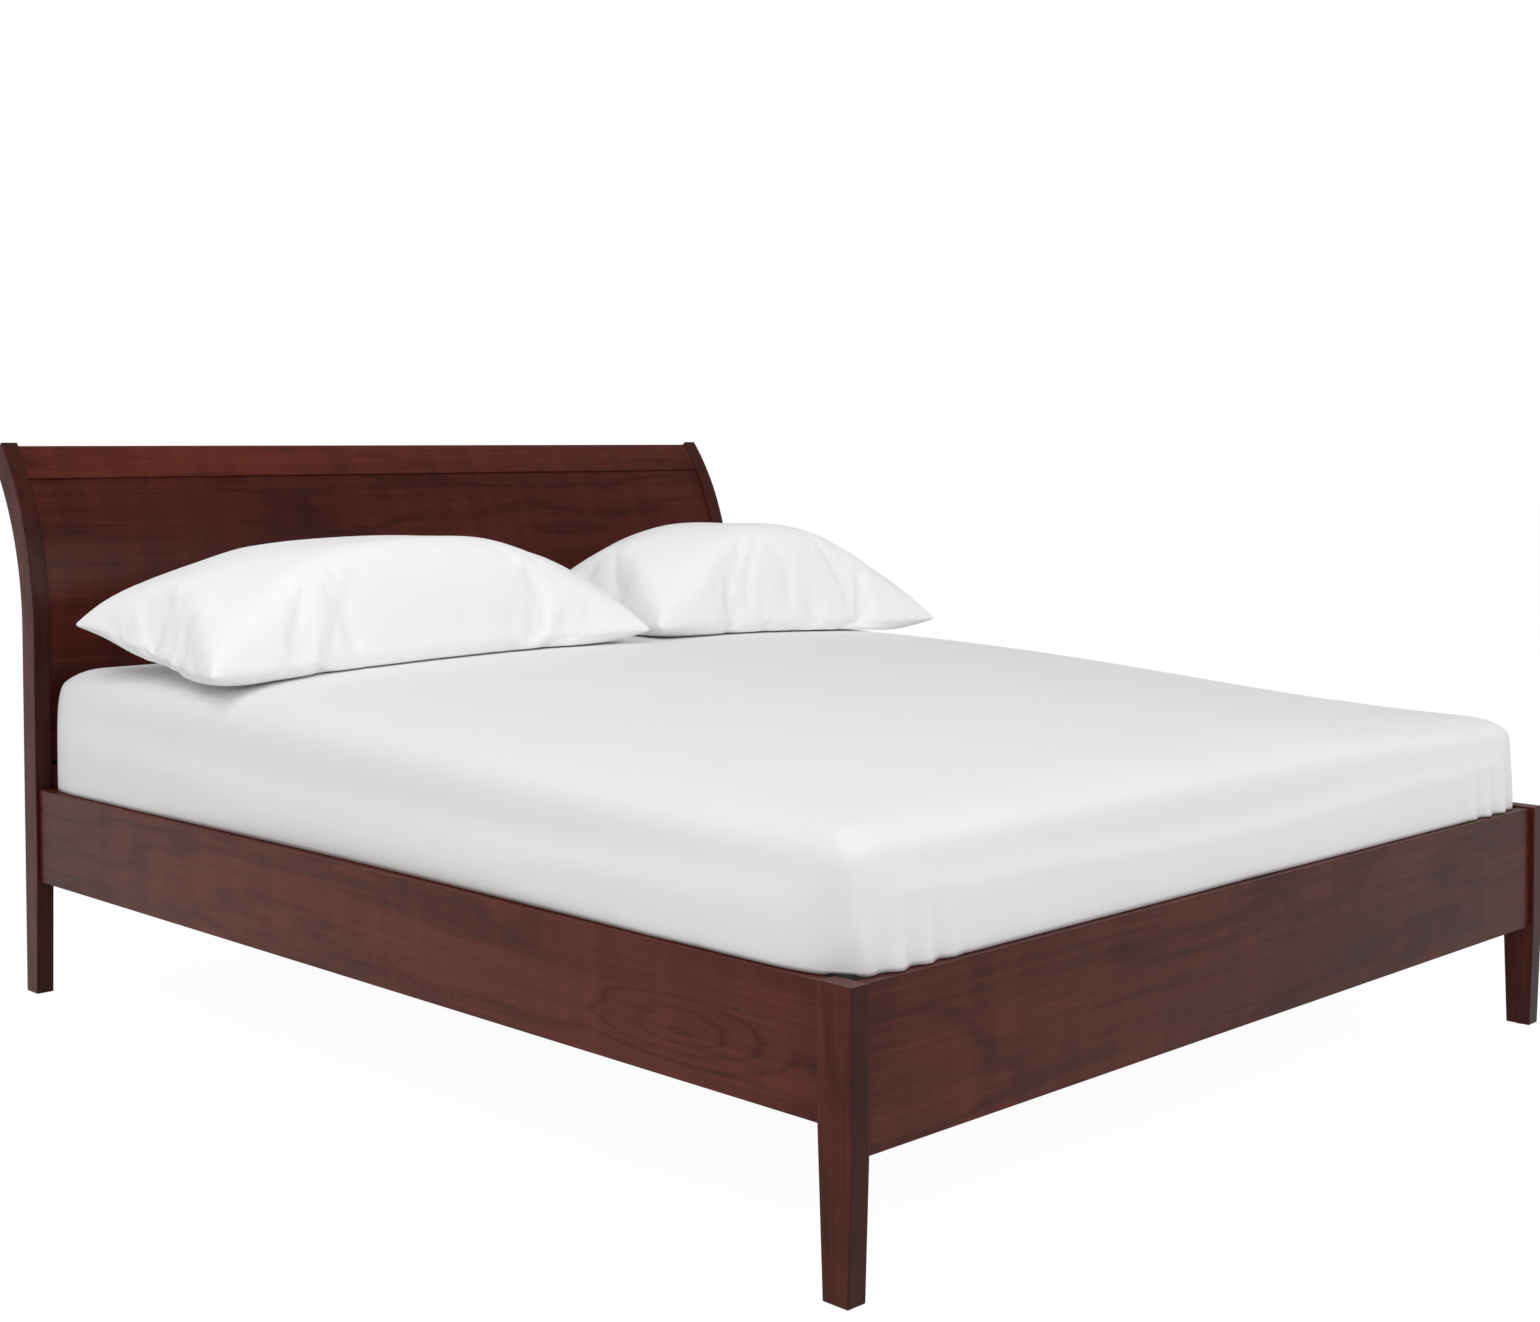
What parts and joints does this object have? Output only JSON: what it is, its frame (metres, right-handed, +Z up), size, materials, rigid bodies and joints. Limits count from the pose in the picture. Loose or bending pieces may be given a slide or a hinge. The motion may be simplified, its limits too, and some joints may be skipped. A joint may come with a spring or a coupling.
{
  "type": "sleigh bed",
  "caption": "Double bed with a backward-curving panelled headboard, low footboard, slatted base, mattress and two pillows.",
  "frame": {"origin": "on the floor under the middle of the bed", "axes": "+Z up, +Y from the foot end to the head end, +X to the right side seen from the foot"},
  "size_m": [1.68, 2.188, 0.9917],
  "materials": {
    "stained_cherry": "reddish-brown stain under satin lacquer",
    "bare_pine": "planed and left bare",
    "zinc_steel": "zinc plated",
    "nylon": "moulded",
    "fitted_sheet": "white cotton percale fitted sheet",
    "pillowcase": "white cotton percale pillowcase"
  },
  "bodies": {
    "frame": {"foot_post_left": "stained_cherry", "foot_post_right": "stained_cherry", "foot_rail": "stained_cherry", "side_rail_left": "stained_cherry", "side_rail_right": "stained_cherry", "head_post_left": "stained_cherry", "head_post_right": "stained_cherry", "headboard_top_rail": "stained_cherry", "headboard_panel": "stained_cherry", "headboard_low_rail": "stained_cherry", "slat_cleat_left": "bare_pine", "slat_cleat_right": "bare_pine", "slat_01": "bare_pine", "slat_02": "bare_pine", "slat_03": "bare_pine", "slat_04": "bare_pine", "slat_05": "bare_pine", "slat_06": "bare_pine", "slat_07": "bare_pine", "slat_08": "bare_pine", "slat_09": "bare_pine", "slat_10": "bare_pine", "slat_11": "bare_pine", "slat_12": "bare_pine", "slat_13": "bare_pine", "slat_14": "bare_pine", "centre_beam": "bare_pine", "centre_leg_front": "bare_pine", "centre_leg_rear": "bare_pine", "footboard_dowels": "bare_pine", "headboard_dowels": "bare_pine", "beam_hanger_foot": "zinc_steel", "beam_hanger_head": "zinc_steel", "post_plate_foot_left": "zinc_steel", "post_plate_foot_right": "zinc_steel", "post_plate_head_left": "zinc_steel", "post_plate_head_right": "zinc_steel", "rail_hook_foot_left": "zinc_steel", "rail_hook_foot_right": "zinc_steel", "rail_hook_head_left": "zinc_steel", "rail_hook_head_right": "zinc_steel", "corner_plate_screws": "zinc_steel", "cleat_screws": "zinc_steel", "slat_screws": "zinc_steel", "hanger_screws": "zinc_steel", "centre_leg_studs": "zinc_steel", "post_glides": "nylon", "centre_leg_glides": "nylon"},
    "mattress": {"mattress": "fitted_sheet"},
    "pillow_left": {"pillow_left": "pillowcase"},
    "pillow_right": {"pillow_right": "pillowcase"}
  },
  "joints": [
    {"name": "mattress_lift", "type": "slide", "parent": "frame", "child": "mattress", "axis": [0, 0, 1], "range_m": [0, 0.4]},
    {"name": "pillow_left_lift", "type": "slide", "parent": "mattress", "child": "pillow_left", "axis": [0, 0, 1], "range_m": [0, 0.3]},
    {"name": "pillow_right_lift", "type": "slide", "parent": "mattress", "child": "pillow_right", "axis": [0, 0, 1], "range_m": [0, 0.3]}
  ]
}
